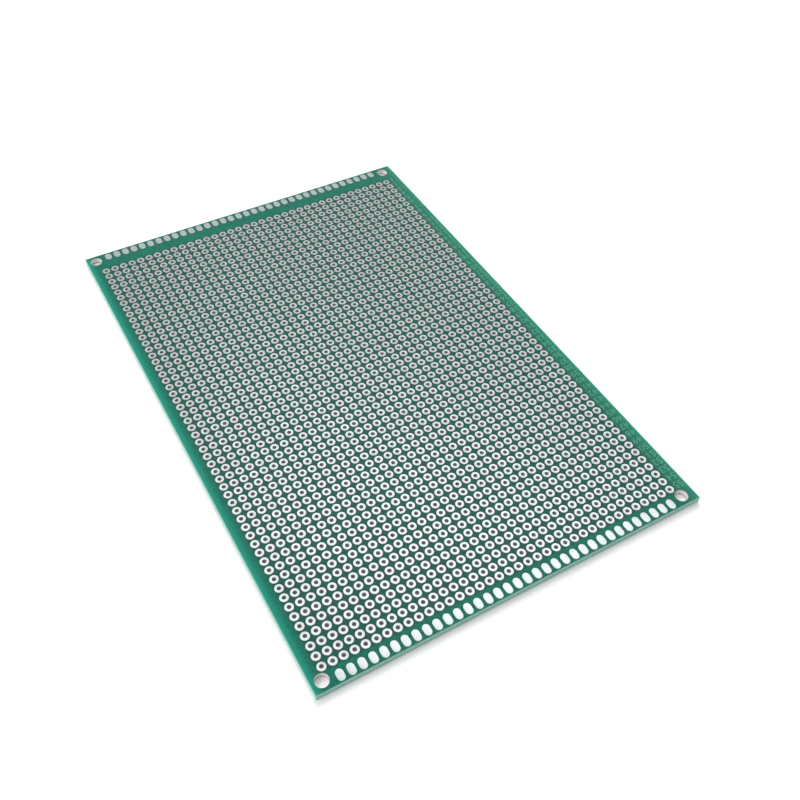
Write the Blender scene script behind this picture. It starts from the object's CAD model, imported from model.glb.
import math
import bpy
from mathutils import Matrix, Vector


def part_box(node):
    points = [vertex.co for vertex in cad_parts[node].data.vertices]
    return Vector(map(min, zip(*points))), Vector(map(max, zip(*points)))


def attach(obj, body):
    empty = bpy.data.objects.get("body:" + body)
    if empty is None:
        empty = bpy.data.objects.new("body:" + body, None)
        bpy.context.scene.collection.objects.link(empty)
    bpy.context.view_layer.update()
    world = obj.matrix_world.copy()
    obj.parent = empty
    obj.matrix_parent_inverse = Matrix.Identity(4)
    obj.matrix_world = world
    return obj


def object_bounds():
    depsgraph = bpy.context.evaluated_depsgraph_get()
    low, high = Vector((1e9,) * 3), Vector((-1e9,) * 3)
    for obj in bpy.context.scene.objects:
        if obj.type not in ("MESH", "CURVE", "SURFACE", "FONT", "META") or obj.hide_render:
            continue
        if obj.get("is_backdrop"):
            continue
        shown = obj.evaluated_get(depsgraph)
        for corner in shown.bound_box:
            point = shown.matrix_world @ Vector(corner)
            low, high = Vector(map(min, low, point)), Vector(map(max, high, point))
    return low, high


mm = 0.001

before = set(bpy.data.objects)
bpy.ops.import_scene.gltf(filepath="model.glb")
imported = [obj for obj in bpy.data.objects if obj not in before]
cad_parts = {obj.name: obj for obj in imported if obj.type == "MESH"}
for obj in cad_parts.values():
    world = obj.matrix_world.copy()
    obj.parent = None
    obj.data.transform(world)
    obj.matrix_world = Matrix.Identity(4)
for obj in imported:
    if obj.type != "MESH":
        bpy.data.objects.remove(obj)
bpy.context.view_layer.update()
print("frame loaded:", len(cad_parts), "nodes")

# the hole grid, read back from the frame
rowCount = len([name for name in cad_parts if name.startswith("plated_row_")])
firstLow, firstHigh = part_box("plated_row_1")
lastLow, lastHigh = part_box("plated_row_" + str(rowCount))
boardName = "printed_board"
boardLow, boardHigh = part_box(boardName)
padRadius = (firstHigh.y - firstLow.y) / 2
firstRowY = (firstLow.y + firstHigh.y) / 2
lastRowY = (lastLow.y + lastHigh.y) / 2
pitch = (firstRowY - lastRowY) / (rowCount - 1)
firstX = firstLow.x + padRadius
columnCount = round((firstHigh.x - padRadius - firstX) / pitch) + 1
gridWidth = (columnCount - 1) * pitch
gridLength = (rowCount - 1) * pitch
gridCentre = Vector((firstX + gridWidth / 2, (firstRowY + lastRowY) / 2, 0))
padHeight = firstHigh.z - boardHigh.z

roundPad = {
    "bore": 1.0 * mm,  # across the finished hole
    "spill": 0.09 * mm,  # how far the solder runs over the edge of the pad
    "crestAt": 1.01 * mm,  # from the middle to where the solder turns down to the board
    "crest": 0.012 * mm,  # how far it stands above the lip of the hole there
    "sides": 20,
    "unevenness": 0.12,  # how much the height differs from pad to pad
    "seed": 3,
}
oblongPad = {
    "width": 1.7 * mm,
    "length": 2.5 * mm,
    "inset": 1.9 * mm,  # from the short edge of the board to the pad's middle
    "spill": 0.05 * mm,
    "creep": 0.15 * mm,  # how far the solder has drawn out towards the edge of the board
    "rim": 0.95,  # where its steep side ends, as a share of the pad's width
    "crown": 0.4,  # and where its level top starts
    "crest": 0.015 * mm,
    "sides": 24,
    "seed": 8,
}
oblongRowY = boardHigh.y - oblongPad["inset"] + oblongPad["creep"]
oblongHalfRun = (oblongPad["length"] - oblongPad["width"]) / 2  # of its straight sides


# node helpers: a socket is linked, any other value is set on the input
def addNode(tree, kind, values=None, **settings):
    node = tree.nodes.new(kind)
    for key, value in settings.items():
        setattr(node, key, value)
    for key, value in (values or {}).items():
        if isinstance(value, bpy.types.NodeSocket):
            tree.links.new(value, node.inputs[key])
        else:
            node.inputs[key].default_value = value
    return node


def calc(tree, operation, *values):
    return addNode(tree, "ShaderNodeMath", dict(enumerate(values)), operation=operation).outputs[0]


def total(tree, *parts):
    # sum of (factor, value) pairs
    result = calc(tree, "MULTIPLY", parts[0][1], parts[0][0])
    for factor, value in parts[1:]:
        result = calc(tree, "MULTIPLY_ADD", value, factor, result)
    return result


def hypotenuse(tree, a, b):
    return calc(tree, "SQRT", calc(tree, "MULTIPLY_ADD", a, a, calc(tree, "MULTIPLY", b, b)))


def mixColour(tree, share, first, second):
    values = {0: share, 6: first, 7: second}
    return addNode(tree, "ShaderNodeMix", values, data_type="RGBA").outputs[2]


def fade(tree, value, start, end, low=0.0, high=1.0):
    values = {"Value": value, "From Min": start, "From Max": end, "To Min": low, "To Max": high}
    return addNode(tree, "ShaderNodeMapRange", values, interpolation_type="SMOOTHSTEP").outputs[0]


def noise(tree, place, scale, detail, roughness):
    values = {"Vector": place, "Scale": scale, "Detail": detail, "Roughness": roughness}
    return addNode(tree, "ShaderNodeTexNoise", values).outputs[0]


def newMaterial(name):
    material = bpy.data.materials.new(name)
    material.use_nodes = True
    material.node_tree.nodes.clear()
    return material, material.node_tree


def finishSurface(tree, colour, roughness, height, relief, metallic=0.0, specular=0.5):
    # relief is the strength of the bumps and their depth
    bump = addNode(tree, "ShaderNodeBump", {"Height": height, "Strength": relief[0], "Distance": relief[1]})
    shader = addNode(tree, "ShaderNodeBsdfPrincipled", {"Base Color": colour, "Roughness": roughness})
    shader.inputs["Metallic"].default_value = metallic
    shader.inputs["Specular IOR Level"].default_value = specular
    tree.links.new(bump.outputs[0], shader.inputs["Normal"])
    addNode(tree, "ShaderNodeOutputMaterial", {"Surface": shader.outputs[0]})


maskFinish = {
    "deep": (0.002, 0.098, 0.064, 1),
    "pale": (0.005, 0.162, 0.112, 1),
    "contrast": (0.3, 0.85),  # the noise turns the ink from deep to pale over this stretch
    "weave": 0.45 * mm,  # pitch of the glass cloth under the ink
    "clothShare": 0.1,
    "cloudScale": 180.0,  # the scales of noise are in spots per metre
    "cloudShare": 0.2,
    "mottleScale": 1700.0,
    "mottleShare": 0.9,
    "grainScale": 2600.0,
    "roughness": 0.22,
    "specular": 0.12,
    "relief": (0.35, 0.006 * mm),
    "thin": (0.026, 0.150, 0.100, 1),  # the ink is thinner round the row numbers
    "thinShare": 0.6,
    "lit": (0.012, 0.330, 0.232, 1),  # light that comes in at the long edges shines through the ink
    "litWidth": 2.2 * mm,
    "litAtLeft": 0.6,
    "litAtRight": 0.4,
    "ground": (0.010, 0.040, 0.034, 1),  # the board looks darker between the pads
    "groundShare": 0.55,
    "groundReach": 0.9,  # how far it goes beyond the outer holes, in radii of a pad
    "groundEnd": 1.5,
    "oblongGroundShare": 0.35,
    "clearance": (0.016, 0.032, 0.026, 1),  # bare board round each pad
    "clearanceWidth": 0.12 * mm,
    "oblongClearanceShare": 0.7,
    "border": (0.22, 0.48, 0.36, 1),  # thin line where the ink ends at the board's edge
    "borderWidth": 0.20 * mm,
    "borderShare": 0.8,
}
laminateFinish = {
    "glass": (0.46, 0.71, 0.63, 1),
    "resin": (0.30, 0.54, 0.47, 1),
    "cutGlass": (0.88, 0.87, 0.86, 1),  # in the mounting holes, where no ink has run down
    "cutResin": (0.70, 0.68, 0.67, 1),
    "contrast": (0.3, 0.75),  # and the laminate from resin to glass over this one
    "layer": 0.2 * mm,  # thickness of one layer of glass cloth
    "layerShare": 0.15,
    "fibres": (900, 900, 9000),  # spots per metre each way, so that they lie flat
    "sawnWidth": 0.2 * mm,  # a wall this near to the edge is sawn, any other is drilled
    "brink": (0.10, 0.12, 0.09, 1),  # thin dark line where the ink of the underside begins
    "brinkWidth": 0.16 * mm,
    "brinkFade": 0.05 * mm,
    "addedRoughness": 0.45,
}


def beyond(tree, value, middle, half):
    # how far a coordinate lies outside a stretch that goes half each way from the middle
    away = calc(tree, "ABSOLUTE", calc(tree, "SUBTRACT", value, middle))
    return calc(tree, "SUBTRACT", away, half)


def padDistances(tree, x, y):
    # from any point of the board to the middle of the nearest round pad, and of the nearest oblong one
    toColumn = calc(tree, "PINGPONG", calc(tree, "SUBTRACT", x, firstX), pitch / 2)
    toRow = calc(tree, "PINGPONG", calc(tree, "SUBTRACT", y, lastRowY), pitch / 2)
    across = calc(tree, "MAXIMUM", toColumn, beyond(tree, x, gridCentre.x, gridWidth / 2))
    along = calc(tree, "MAXIMUM", toRow, beyond(tree, y, gridCentre.y, gridLength / 2))
    toRound = hypotenuse(tree, across, along)
    across = calc(tree, "MAXIMUM", toColumn, beyond(tree, x, gridCentre.x, gridWidth / 2 - pitch))
    along = beyond(tree, calc(tree, "ABSOLUTE", y), oblongRowY, oblongHalfRun)
    along = calc(tree, "MAXIMUM", along, 0.0)
    return toRound, hypotenuse(tree, across, along)


def padSurrounds(tree, x, y):
    # how much of the bare ring round a pad and of the darker ground between the pads a point takes
    toRound, toOblong = padDistances(tree, x, y)
    width = maskFinish["clearanceWidth"]
    edge = padRadius + roundPad["spill"]
    ring = fade(tree, toRound, edge + 0.5 * width, padRadius + 2 * width, 1.0, 0.0)
    edge = oblongPad["width"] / 2 + oblongPad["spill"]
    oblongRing = fade(tree, toOblong, edge, edge + 0.6 * width, maskFinish["oblongClearanceShare"], 0.0)
    ring = calc(tree, "MAXIMUM", ring, oblongRing)
    besideGrid = beyond(tree, x, gridCentre.x, gridWidth / 2)
    beyondGrid = beyond(tree, y, gridCentre.y, gridLength / 2)
    outside = calc(tree, "MAXIMUM", besideGrid, beyondGrid)
    reach, end = maskFinish["groundReach"] * padRadius, maskFinish["groundEnd"] * padRadius
    ground = fade(tree, outside, reach, end, 1.0, 0.0)
    nearOblong = fade(tree, toOblong, edge + width, edge + 4 * width, maskFinish["oblongGroundShare"], 0.0)
    return ring, calc(tree, "MAXIMUM", ground, nearOblong)


def glassCloth(tree, x, y):
    turn = 2 * math.pi / maskFinish["weave"]
    warp = calc(tree, "SINE", calc(tree, "MULTIPLY", x, turn))
    weft = calc(tree, "SINE", calc(tree, "MULTIPLY", y, turn))
    return calc(tree, "MULTIPLY", warp, weft)


def inkColour(tree, place, x, y, toSide, toEdge, cloth, cloudy):
    # green ink, with the cloth showing through it
    mottled = noise(tree, place, maskFinish["mottleScale"], detail=2.0, roughness=0.7)
    shares = maskFinish["clothShare"], maskFinish["cloudShare"], maskFinish["mottleShare"]
    share = total(tree, *zip(shares, (cloth, cloudy, mottled)))
    share = fade(tree, share, *maskFinish["contrast"])
    green = mixColour(tree, share, maskFinish["deep"], maskFinish["pale"])
    gridEdge = gridCentre.x + gridWidth / 2
    thin = fade(tree, x, gridEdge, gridEdge + pitch, 0.0, maskFinish["thinShare"])
    green = mixColour(tree, thin, green, maskFinish["thin"])
    strongest = maskFinish["litAtLeft"], maskFinish["litAtRight"]
    strongest = fade(tree, x, boardLow.x, boardHigh.x, *strongest)
    lit = fade(tree, toSide, 0.0, maskFinish["litWidth"], strongest, 0.0)
    green = mixColour(tree, lit, green, maskFinish["lit"])
    ring, ground = padSurrounds(tree, x, y)
    ground = calc(tree, "MULTIPLY", ground, maskFinish["groundShare"])
    green = mixColour(tree, ground, green, maskFinish["ground"])
    green = mixColour(tree, ring, green, maskFinish["clearance"])
    width = maskFinish["borderWidth"]
    border = fade(tree, toEdge, 0.3 * width, width, maskFinish["borderShare"], 0.0)
    return mixColour(tree, border, green, maskFinish["border"])


def laminateColour(tree, z, toEdge, fibres):
    # bare glass fibre on every sawn or drilled wall
    layers = calc(tree, "SINE", calc(tree, "MULTIPLY", z, 2 * math.pi / laminateFinish["layer"]))
    share = total(tree, (laminateFinish["layerShare"], layers), (1.0, fibres))
    share = fade(tree, share, *laminateFinish["contrast"])
    sawn = mixColour(tree, share, laminateFinish["resin"], laminateFinish["glass"])
    drilled = mixColour(tree, share, laminateFinish["cutResin"], laminateFinish["cutGlass"])
    foot = boardLow.z + laminateFinish["brinkWidth"]
    brink = fade(tree, z, foot, foot + laminateFinish["brinkFade"], 1.0, 0.0)
    drilled = mixColour(tree, brink, drilled, laminateFinish["brink"])
    width = laminateFinish["sawnWidth"]
    return mixColour(tree, fade(tree, toEdge, width, 2 * width), sawn, drilled)


def makeBoardMaterial():
    material, tree = newMaterial("greenMaskOnGlassFibre")
    place = addNode(tree, "ShaderNodeTexCoord").outputs["Object"]
    x, y, z = addNode(tree, "ShaderNodeSeparateXYZ", {0: place}).outputs
    facing = addNode(tree, "ShaderNodeNewGeometry").outputs["Normal"]
    upwards = addNode(tree, "ShaderNodeSeparateXYZ", {0: facing}).outputs[2]
    wall = calc(tree, "LESS_THAN", calc(tree, "ABSOLUTE", upwards), 0.5)
    toSide = calc(tree, "SUBTRACT", boardHigh.x, calc(tree, "ABSOLUTE", x))
    toEnd = calc(tree, "SUBTRACT", boardHigh.y, calc(tree, "ABSOLUTE", y))
    toEdge = calc(tree, "MINIMUM", toSide, toEnd)
    cloth = glassCloth(tree, x, y)
    cloudy = noise(tree, place, maskFinish["cloudScale"], detail=3.0, roughness=0.6)
    fine = noise(tree, place, maskFinish["grainScale"], detail=2.0, roughness=0.6)
    stretched = {"Vector": place, "Scale": laminateFinish["fibres"]}
    stretched = addNode(tree, "ShaderNodeMapping", stretched).outputs[0]
    fibres = noise(tree, stretched, 1.0, detail=3.0, roughness=0.7)
    green = inkColour(tree, place, x, y, toSide, toEdge, cloth, cloudy)
    colour = mixColour(tree, wall, green, laminateColour(tree, z, toEdge, fibres))
    parts = (1.0, maskFinish["roughness"]), (0.12, cloudy), (laminateFinish["addedRoughness"], wall)
    gloss = total(tree, *parts)
    height = total(tree, (0.35, cloth), (1.0, fine), (1.0, calc(tree, "MULTIPLY", fibres, wall)))
    finishSurface(tree, colour, gloss, height, maskFinish["relief"], specular=maskFinish["specular"])
    return material


barrelFinish = {
    "bright": (0.66, 0.63, 0.62, 1),
    "dull": (0.48, 0.45, 0.44, 1),
    "roughness": 0.42,
    "metallic": 0.65,
    "patchScale": 2500.0,
    "relief": (0.4, 0.01 * mm),
}


def makeBarrelMaterial():
    # the rough tin inside the holes scatters light down to the far end
    material, tree = newMaterial("tinnedBarrels")
    place = addNode(tree, "ShaderNodeTexCoord").outputs["Object"]
    patches = noise(tree, place, barrelFinish["patchScale"], detail=3.0, roughness=0.6)
    colour = mixColour(tree, patches, barrelFinish["bright"], barrelFinish["dull"])
    gloss = total(tree, (1.0, barrelFinish["roughness"]), (0.2, patches))
    finishSurface(tree, colour, gloss, patches, barrelFinish["relief"], metallic=barrelFinish["metallic"])
    return material


tinFinish = {
    "bright": (0.435, 0.475, 0.475, 1),
    "dull": (0.375, 0.42, 0.42, 1),
    "roughness": 0.24,
    "patchScale": 700.0,
    "grainScale": 6000.0,
    "contrast": (0.2, 0.8),  # the same for the tin, from bright to dull
    "patchShare": 0.8,
    "toneShare": 0.2,  # how much one pad differs from the next
    "relief": (0.25, 0.009 * mm),
}


def makeTinMaterial():
    material, tree = newMaterial("solderedTin")
    place = addNode(tree, "ShaderNodeTexCoord").outputs["Object"]
    tone = addNode(tree, "ShaderNodeAttribute", attribute_name="padTone").outputs["Fac"]
    patches = noise(tree, place, tinFinish["patchScale"], detail=3.0, roughness=0.6)
    grains = noise(tree, place, tinFinish["grainScale"], detail=2.0, roughness=0.5)
    share = total(tree, (tinFinish["patchShare"], patches), (tinFinish["toneShare"], tone))
    share = fade(tree, share, *tinFinish["contrast"])
    colour = mixColour(tree, share, tinFinish["bright"], tinFinish["dull"])
    gloss = total(tree, (1.0, tinFinish["roughness"]), (0.14, grains))
    height = total(tree, (1.0, patches), (0.25, grains))
    finishSurface(tree, colour, gloss, height, tinFinish["relief"], metallic=1.0)
    return material


printFinish = {
    "deep": (0.06, 0.26, 0.16, 1),
    "pale": (0.10, 0.33, 0.21, 1),
    "roughness": 0.26,
    "specular": 0.1,
    "cloudScale": 900.0,
    "relief": (0.3, 0.01 * mm),
}


def makePrintMaterial():
    material, tree = newMaterial("maskOverCopper")
    place = addNode(tree, "ShaderNodeTexCoord").outputs["Object"]
    cloudy = noise(tree, place, printFinish["cloudScale"], detail=3.0, roughness=0.6)
    colour = mixColour(tree, cloudy, printFinish["deep"], printFinish["pale"])
    gloss = total(tree, (1.0, printFinish["roughness"]), (0.1, cloudy))
    finishSurface(tree, colour, gloss, cloudy, printFinish["relief"], specular=printFinish["specular"])
    return material


boardMaterial = makeBoardMaterial()
tinMaterial = makeTinMaterial()
barrelMaterial = makeBarrelMaterial()
printMaterial = makePrintMaterial()
for name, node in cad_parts.items():
    node.data.materials.clear()
    if name == boardName:
        node.data.materials.append(boardMaterial)
    elif name.startswith("plated_row_"):
        node.data.materials.append(barrelMaterial)
    else:
        node.data.materials.append(tinMaterial)
print("finishes made")


def newNodeGroup(name, inputs):
    # returns the tree, its input sockets by name, and their identifiers by name
    tree = bpy.data.node_groups.new(name, "GeometryNodeTree")
    tree.interface.new_socket("Geometry", in_out="OUTPUT", socket_type="NodeSocketGeometry")
    ids = {}
    for label, kind in inputs.items():
        item = tree.interface.new_socket(label, in_out="INPUT", socket_type="NodeSocket" + kind)
        ids[label] = item.identifier
    return tree, tree.nodes.new("NodeGroupInput").outputs, ids


def meshFromNodes(name, tree, ids, values):
    # runs the node group on an empty mesh and keeps what it makes as a plain mesh
    carrier = bpy.data.objects.new(name + "Carrier", bpy.data.meshes.new(name + "Carrier"))
    bpy.context.scene.collection.objects.link(carrier)
    modifier = carrier.modifiers.new("nodes", "NODES")
    modifier.node_group = tree
    for label, value in values.items():
        modifier[ids[label]] = value
    depsgraph = bpy.context.evaluated_depsgraph_get()
    mesh = bpy.data.meshes.new_from_object(carrier.evaluated_get(depsgraph), depsgraph=depsgraph)
    carrier.modifiers.clear()
    bpy.data.objects.remove(carrier)
    mesh.name = name
    piece = bpy.data.objects.new(name, mesh)
    bpy.context.scene.collection.objects.link(piece)
    return piece


padInputs = {
    "Columns": "Int",
    "Rows": "Int",
    "Column Pitch": "Float",
    "Row Pitch": "Float",
    "Centre": "Vector",
    "Turn": "Float",
    "Sides": "Int",
    "Outer Radius": "Float",
    "Crest Radius": "Float",
    "Inner Radius": "Float",
    "Half Run": "Float",
    "Crest": "Float",
    "Lip": "Float",
    "Unevenness": "Float",
    "Seed": "Int",
    "Material": "Material",
}


def placeOnGrid(tree, pad, take):
    # copies of one pad on a grid, each a little higher or lower than the next
    wide = calc(tree, "MULTIPLY", calc(tree, "SUBTRACT", take["Columns"], 1), take["Column Pitch"])
    long = calc(tree, "MULTIPLY", calc(tree, "SUBTRACT", take["Rows"], 1), take["Row Pitch"])
    counts = {"Size X": wide, "Size Y": long, "Vertices X": take["Columns"], "Vertices Y": take["Rows"]}
    grid = addNode(tree, "GeometryNodeMeshGrid", counts).outputs["Mesh"]
    moved = {"Geometry": grid, "Translation": take["Centre"]}
    grid = addNode(tree, "GeometryNodeTransform", moved).outputs[0]
    around = addNode(tree, "ShaderNodeCombineXYZ", {"X": take["Turn"]}).outputs[0]
    turned = addNode(tree, "GeometryNodeTransform", {"Geometry": pad, "Rotation": around}).outputs[0]
    copies = {"Points": grid, "Instance": turned}
    copies = addNode(tree, "GeometryNodeInstanceOnPoints", copies).outputs[0]
    low = calc(tree, "SUBTRACT", 1.0, take["Unevenness"])
    high = calc(tree, "ADD", 1.0, take["Unevenness"])
    spread = {2: low, 3: high, "Seed": take["Seed"]}
    tall = addNode(tree, "FunctionNodeRandomValue", spread, data_type="FLOAT").outputs[1]
    size = addNode(tree, "ShaderNodeCombineXYZ", {"X": 1.0, "Y": 1.0, "Z": tall}).outputs[0]
    copies = addNode(tree, "GeometryNodeScaleInstances", {"Instances": copies, "Scale": size}).outputs[0]
    seed = calc(tree, "ADD", take["Seed"], 1)
    tone = addNode(tree, "FunctionNodeRandomValue", {"Seed": seed}, data_type="FLOAT").outputs[1]
    stored = {"Geometry": copies, "Name": "padTone", "Value": tone}
    kinds = {"data_type": "FLOAT", "domain": "INSTANCE"}
    return addNode(tree, "GeometryNodeStoreNamedAttribute", stored, **kinds).outputs[0]


def finishNodes(tree, shape, take):
    real = addNode(tree, "GeometryNodeRealizeInstances", {0: shape}).outputs[0]
    smooth = addNode(tree, "GeometryNodeSetShadeSmooth", {0: real}).outputs[0]
    painted = addNode(tree, "GeometryNodeSetMaterial", {"Geometry": smooth, "Material": take["Material"]})
    addNode(tree, "NodeGroupOutput", {0: painted.outputs[0]})


def step(tree, shape, mode, selection, share, rise):
    # one more ring: a copy of the selected rim, scaled about the axis and raised
    values = {"Mesh": shape, "Offset Scale": 0.0, "Selection": selection}
    ring = addNode(tree, "GeometryNodeExtrudeMesh", values, mode=mode)
    place = addNode(tree, "GeometryNodeInputPosition").outputs[0]
    scale = addNode(tree, "ShaderNodeCombineXYZ", {"X": share, "Y": share, "Z": 1.0}).outputs[0]
    place = addNode(tree, "ShaderNodeVectorMath", {0: place, 1: scale}, operation="MULTIPLY").outputs[0]
    lift = addNode(tree, "ShaderNodeCombineXYZ", {"Z": rise}).outputs[0]
    shape, rim = ring.outputs["Mesh"], ring.outputs["Top"]
    moved = {"Geometry": shape, "Selection": rim, "Position": place, "Offset": lift}
    return addNode(tree, "GeometryNodeSetPosition", moved).outputs[0], rim


def roundPadNodes():
    # a ring of solder: up from the board to the crest, and down to the lip of the bore
    tree, take, ids = newNodeGroup("solderRings", padInputs)
    circle = {"Vertices": take["Sides"], "Radius": take["Outer Radius"]}
    shape = addNode(tree, "GeometryNodeMeshCircle", circle, fill_type="NONE").outputs[0]
    share = calc(tree, "DIVIDE", take["Crest Radius"], take["Outer Radius"])
    shape, crest = step(tree, shape, "EDGES", True, share, take["Crest"])
    share = calc(tree, "DIVIDE", take["Inner Radius"], take["Crest Radius"])
    rise = calc(tree, "SUBTRACT", take["Lip"], take["Crest"])
    shape = step(tree, shape, "EDGES", crest, share, rise)[0]
    creased = {"Geometry": shape, "Selection": crest, "Shade Smooth": False}
    shape = addNode(tree, "GeometryNodeSetShadeSmooth", creased, domain="EDGE").outputs[0]
    finishNodes(tree, placeOnGrid(tree, shape, take), take)
    return tree, ids


def oblongPadNodes():
    # a low loaf of solder, its two halves drawn apart so that its ends are round
    tree, take, ids = newNodeGroup("oblongSolder", padInputs)
    circle = {"Vertices": take["Sides"], "Radius": take["Outer Radius"]}
    shape = addNode(tree, "GeometryNodeMeshCircle", circle, fill_type="NGON").outputs[0]
    # turned by half a side, so that no corner lies between the halves
    halfStep = calc(tree, "DIVIDE", math.pi, take["Sides"])
    around = addNode(tree, "ShaderNodeCombineXYZ", {"Z": halfStep}).outputs[0]
    shape = addNode(tree, "GeometryNodeTransform", {"Geometry": shape, "Rotation": around}).outputs[0]
    share = calc(tree, "DIVIDE", take["Crest Radius"], take["Outer Radius"])
    shape, rim = step(tree, shape, "FACES", True, share, take["Lip"])
    creased = {"Geometry": shape, "Selection": rim, "Shade Smooth": False}
    shape = addNode(tree, "GeometryNodeSetShadeSmooth", creased, domain="EDGE").outputs[0]
    share = calc(tree, "DIVIDE", take["Inner Radius"], take["Crest Radius"])
    rise = calc(tree, "SUBTRACT", take["Crest"], take["Lip"])
    shape = step(tree, shape, "FACES", rim, share, rise)[0]
    place = addNode(tree, "GeometryNodeInputPosition").outputs[0]
    y = addNode(tree, "ShaderNodeSeparateXYZ", {0: place}).outputs[1]
    run = calc(tree, "MULTIPLY", calc(tree, "SIGN", y), take["Half Run"])
    shift = addNode(tree, "ShaderNodeCombineXYZ", {"Y": run}).outputs[0]
    moved = {"Geometry": shape, "Offset": shift}
    shape = addNode(tree, "GeometryNodeSetPosition", moved).outputs[0]
    finishNodes(tree, placeOnGrid(tree, shape, take), take)
    return tree, ids


def fastenSolder(piece):
    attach(piece, "root")
    print(piece.name, "made:", len(piece.data.polygons), "faces")


roundTree, roundIds = roundPadNodes()
oblongTree, oblongIds = oblongPadNodes()
faces = {
    "top": {"turn": 0.0, "height": boardHigh.z, "seed": 0, "fewerSides": 0},
    "bottom": {"turn": math.pi, "height": boardLow.z, "seed": 50, "fewerSides": 4},
}
for face, side in faces.items():
    values = {
        "Columns": columnCount,
        "Rows": rowCount,
        "Column Pitch": pitch,
        "Row Pitch": pitch,
        "Centre": (gridCentre.x, gridCentre.y, side["height"]),
        "Turn": side["turn"],
        "Sides": roundPad["sides"] - side["fewerSides"],
        "Outer Radius": padRadius + roundPad["spill"],
        "Crest Radius": roundPad["crestAt"],
        "Inner Radius": roundPad["bore"] / 2,
        "Half Run": 0.0,
        "Crest": padHeight + roundPad["crest"],
        "Lip": padHeight,
        "Unevenness": roundPad["unevenness"],
        "Seed": roundPad["seed"] + side["seed"],
        "Material": tinMaterial,
    }
    fastenSolder(meshFromNodes(face + "PadSolder", roundTree, roundIds, values))
    values.update({
        "Columns": columnCount - 2,
        "Rows": 2,
        "Row Pitch": 2 * oblongRowY,
        "Centre": (gridCentre.x, 0.0, side["height"]),
        "Sides": oblongPad["sides"],
        "Outer Radius": oblongPad["width"] / 2 + oblongPad["spill"],
        "Crest Radius": oblongPad["rim"] * oblongPad["width"] / 2,
        "Inner Radius": oblongPad["crown"] * oblongPad["width"] / 2,
        "Half Run": oblongHalfRun + oblongPad["spill"],
        "Crest": padHeight + oblongPad["crest"],
        "Seed": oblongPad["seed"] + side["seed"],
    })
    fastenSolder(meshFromNodes(face + "EdgeSolder", oblongTree, oblongIds, values))

rowNumber = {
    "height": 1.8 * mm,
    "width": 1.1 * mm,
    "onesAt": 2.22 * mm,  # from the centres of the last column to the ones
    "tensAt": 3.56 * mm,
    "lift": 0.25 * mm,  # from the middle of a row towards row 1
    "relief": 0.015 * mm,
}


def digitMesh(digit):
    # a raised digit in the XY plane, with its middle at the origin
    words = bpy.data.curves.new("digit" + digit, "FONT")
    words.body = digit
    words.resolution_u = 3
    words.extrude = 0.5  # each way, so that the whole is one deep before it is scaled
    carrier = bpy.data.objects.new("digit" + digit, words)
    bpy.context.scene.collection.objects.link(carrier)
    depsgraph = bpy.context.evaluated_depsgraph_get()
    mesh = bpy.data.meshes.new_from_object(carrier.evaluated_get(depsgraph), depsgraph=depsgraph)
    bpy.data.objects.remove(carrier)
    low = [min(vertex.co[axis] for vertex in mesh.vertices) for axis in (0, 1)]
    high = [max(vertex.co[axis] for vertex in mesh.vertices) for axis in (0, 1)]
    middle = Vector(((low[0] + high[0]) / 2, (low[1] + high[1]) / 2, 0))
    tall = rowNumber["height"] / (high[1] - low[1])
    wide = tall if digit == "1" else rowNumber["width"] / (high[0] - low[0])
    size = Matrix.Diagonal((wide, tall, rowNumber["relief"], 1))
    mesh.transform(size @ Matrix.Translation(-middle))
    return mesh


def makeRowNumbers():
    # turned to be read from the far end, beside the last column
    digits = {digit: digitMesh(digit) for digit in "0123456789"}
    vertices = []
    polygons = []
    lastX = firstX + gridWidth
    halfTurn = Matrix.Rotation(math.pi, 4, "Z")
    for row in range(1, rowCount + 1):
        places = [rowNumber["onesAt"], rowNumber["tensAt"]]
        for digit, away in zip(reversed(str(row)), places):
            y = firstRowY - (row - 1) * pitch + rowNumber["lift"]
            place = Matrix.Translation((lastX + away, y, boardHigh.z)) @ halfTurn
            base = len(vertices)
            vertices.extend(place @ vertex.co for vertex in digits[digit].vertices)
            for polygon in digits[digit].polygons:
                polygons.append([base + index for index in polygon.vertices])
    mesh = bpy.data.meshes.new("rowNumbers")
    mesh.from_pydata(vertices, [], polygons)
    mesh.materials.append(printMaterial)
    piece = bpy.data.objects.new("rowNumbers", mesh)
    bpy.context.scene.collection.objects.link(piece)
    return piece


numbers = makeRowNumbers()
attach(numbers, "root")
print("rowNumbers made:", len(numbers.data.polygons), "faces")

view = {
    "lens": 41.76,  # mm, as are the three below
    "sensor": 36.0,
    "place": (-77.49, -147.9, 178.16),
    "aim": (3.22, -15.17, 1.7),
    "roll": 2.15,  # degrees
}


def makeCamera():
    lens = bpy.data.cameras.new("camera")
    lens.lens = view["lens"]
    lens.sensor_width = view["sensor"]
    lens.clip_start = 0.01
    camera = bpy.data.objects.new("camera", lens)
    place = Vector(view["place"]) * mm
    towards = Vector(view["aim"]) * mm - place
    turn = towards.to_track_quat("-Z", "Y").to_matrix().to_4x4()
    roll = Matrix.Rotation(math.radians(view["roll"]), 4, "Z")
    camera.matrix_world = Matrix.Translation(place) @ turn @ roll
    bpy.context.scene.collection.objects.link(camera)
    bpy.context.scene.camera = camera


studio = {
    "sky": 0.29,  # light that the white surroundings give
    "background": 1.0,  # what the camera and the gloss see of them
    "floorColour": (0.90, 0.90, 0.90, 1),
    "floorGlow": 0.10,  # beside the board, rising to 1 further out, where the lamps don't reach
    "nearFloor": 0.15,  # m
    "farFloor": 0.5,  # m
    "floorSize": 3.0,  # m
}
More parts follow.
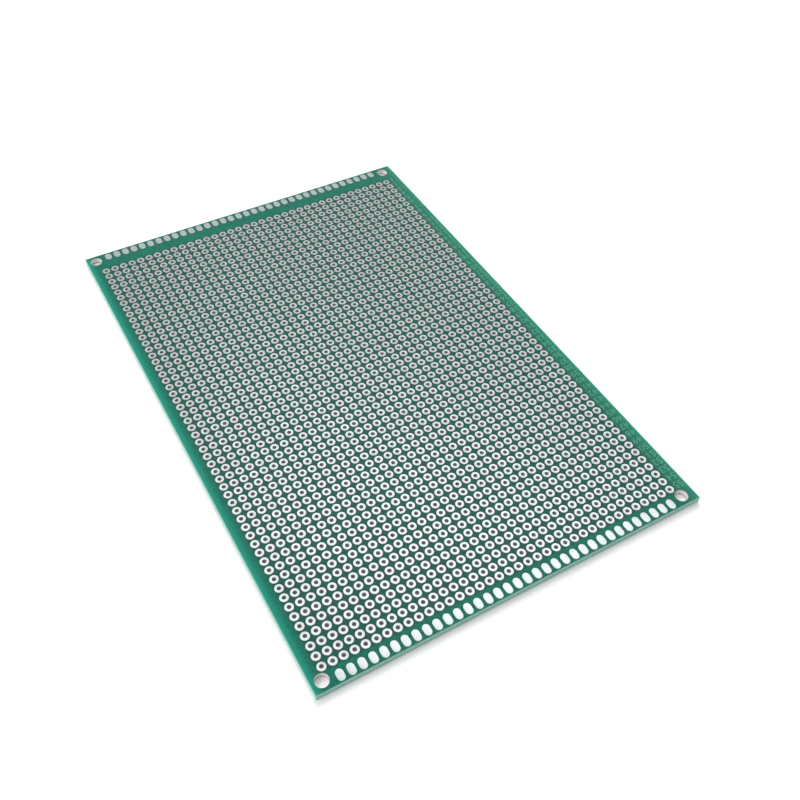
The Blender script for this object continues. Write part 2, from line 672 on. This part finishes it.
# places and sizes in metres, power in watts
lamps = {
    # a softbox beyond the far end, mirrored by the pads of the near one
    "overheadLamp": {"place": (0.38, 0.395, 1.0), "size": (0.92, 0.45), "power": 2.45, "mirrored": True},
    "farLamp": {"place": (0.35, 0.95, 0.85), "size": (0.8, 0.8), "power": 13.0, "mirrored": False},
    "leftLamp": {"place": (-0.9, 0.05, 0.8), "size": (0.9, 0.7), "power": 9.0, "mirrored": False},
}


def seenDirectly(tree):
    # 1 for what the camera sees, also in gloss and through glass, 0 for light on surfaces
    path = addNode(tree, "ShaderNodeLightPath").outputs
    seen = calc(tree, "MAXIMUM", path["Is Camera Ray"], path["Is Glossy Ray"])
    return calc(tree, "MAXIMUM", seen, path["Is Transmission Ray"])


def makeWorld():
    world = bpy.data.worlds.new("whiteStudio")
    bpy.context.scene.world = world
    world.use_nodes = True
    tree = world.node_tree
    tree.nodes.clear()
    seen = seenDirectly(tree)
    strength = fade(tree, seen, 0.0, 1.0, studio["sky"], studio["background"])
    light = addNode(tree, "ShaderNodeBackground", {"Color": (1, 1, 1, 1), "Strength": strength})
    addNode(tree, "ShaderNodeOutputWorld", {"Surface": light.outputs[0]})


def makeFloor(height):
    half = studio["floorSize"] / 2
    corners = [(-half, -half, height), (half, -half, height), (half, half, height), (-half, half, height)]
    mesh = bpy.data.meshes.new("floor")
    mesh.from_pydata(corners, [], [(0, 1, 2, 3)])
    floor = bpy.data.objects.new("floor", mesh)
    bpy.context.scene.collection.objects.link(floor)
    material, tree = newMaterial("whiteFloor")
    matt = addNode(tree, "ShaderNodeBsdfDiffuse", {"Color": studio["floorColour"]}).outputs[0]
    place = addNode(tree, "ShaderNodeTexCoord").outputs["Object"]
    away = addNode(tree, "ShaderNodeVectorMath", {0: place}, operation="LENGTH").outputs["Value"]
    glowing = fade(tree, away, studio["nearFloor"], studio["farFloor"], studio["floorGlow"], 1.0)
    glowing = calc(tree, "MULTIPLY", seenDirectly(tree), glowing)
    glow = addNode(tree, "ShaderNodeEmission", {"Strength": glowing}).outputs[0]
    both = addNode(tree, "ShaderNodeAddShader", {0: matt, 1: glow}).outputs[0]
    addNode(tree, "ShaderNodeOutputMaterial", {"Surface": both})
    mesh.materials.append(material)
    floor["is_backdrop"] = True


def makeLamp(name, values):
    light = bpy.data.lights.new(name, "AREA")
    light.shape = "RECTANGLE"
    light.size, light.size_y = values["size"]
    light.energy = values["power"]
    lamp = bpy.data.objects.new(name, light)
    lamp.visible_camera = False
    lamp.visible_glossy = values["mirrored"]
    # aimed at the board
    place = Vector(values["place"])
    lamp.matrix_world = Matrix.Translation(place) @ (-place).to_track_quat("-Z", "Y").to_matrix().to_4x4()
    bpy.context.scene.collection.objects.link(lamp)


makeCamera()
makeWorld()
makeFloor(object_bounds()[0].z)
for name, values in lamps.items():
    makeLamp(name, values)
bpy.context.scene.view_settings.view_transform = "Standard"
print("camera, floor and lamps placed")
